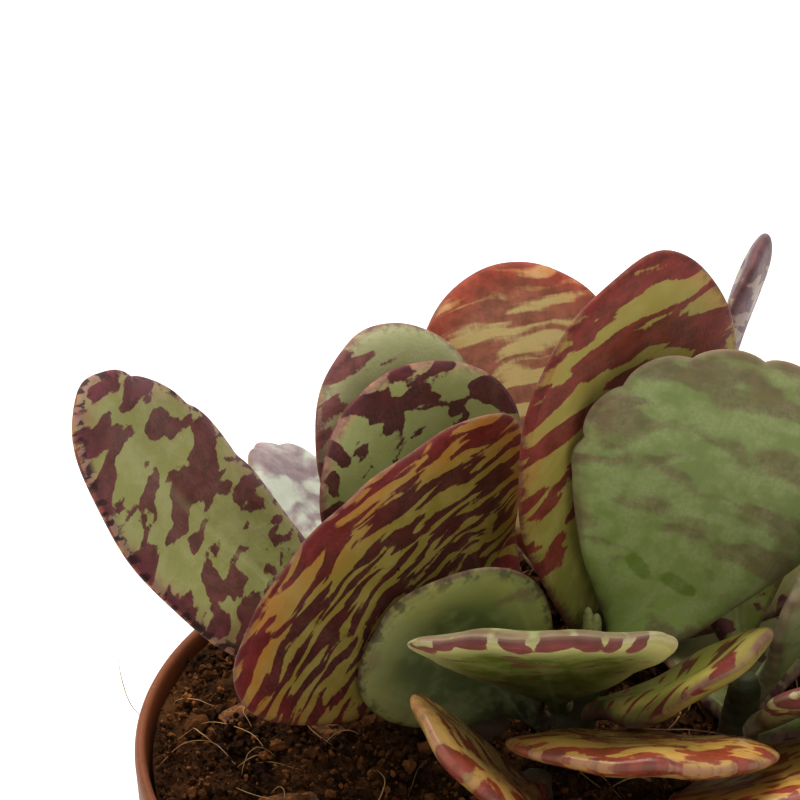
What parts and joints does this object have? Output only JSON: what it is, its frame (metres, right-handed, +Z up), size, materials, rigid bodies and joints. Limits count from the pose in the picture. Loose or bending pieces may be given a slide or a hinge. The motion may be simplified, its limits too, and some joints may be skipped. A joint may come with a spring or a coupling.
{
  "type": "potted kalanchoe humilis",
  "caption": "Small potted succulent: thick scalloped leaves with maroon blotches on short stems, in a thin round terracotta-coloured nursery pot filled with soil.",
  "frame": {"origin": "middle of the pot's flat base, on the surface it stands on", "axes": "+Z up through the pot's axis, +X to the viewer's right and +Y away from the viewer in the pictured view"},
  "size_m": [0.0912, 0.087, 0.1202],
  "materials": {
    "pot": "satin terracotta-coloured plastic",
    "soil": "moist crumbly peat and bark mix",
    "stem": "smooth green stem",
    "leaf_green": "waxy fleshy leaf, green with maroon blotches",
    "leaf_glaucous": "waxy blue-green leaf with a pale bloom and faint purple blotches",
    "leaf_yellow": "satin yellow-green leaf with red blotches",
    "leaf_red": "satin yellow leaf covered by maroon bands"
  },
  "bodies": {
    "root": {"pot": "pot", "soil": "soil", "stem_centre": "stem", "stem_left": "stem", "stem_back": "stem", "stem_right": "stem", "stem_front": "stem", "bud": "leaf_glaucous", "leaf_left_outer": "leaf_green", "leaf_left_low": "leaf_glaucous", "leaf_left_back": "leaf_green", "leaf_left_upper": "leaf_green", "leaf_left_broad": "leaf_yellow", "leaf_back_tall": "leaf_red", "leaf_back_right_tall": "leaf_glaucous", "leaf_back_low": "leaf_green", "leaf_back_right_low": "leaf_green", "leaf_centre_tall": "leaf_red", "leaf_centre_right": "leaf_glaucous", "leaf_centre_front": "leaf_green", "leaf_centre_front_right": "leaf_yellow", "leaf_centre_front_left": "leaf_glaucous", "leaf_centre_low_front": "leaf_yellow", "leaf_front_low": "leaf_yellow", "leaf_right_old": "leaf_red", "leaf_right_front": "leaf_green", "leaf_right_upper": "leaf_glaucous", "leaf_right_back": "leaf_green", "leaf_right_low": "leaf_green", "leaf_right_back_low": "leaf_green"}
  },
  "joints": []
}
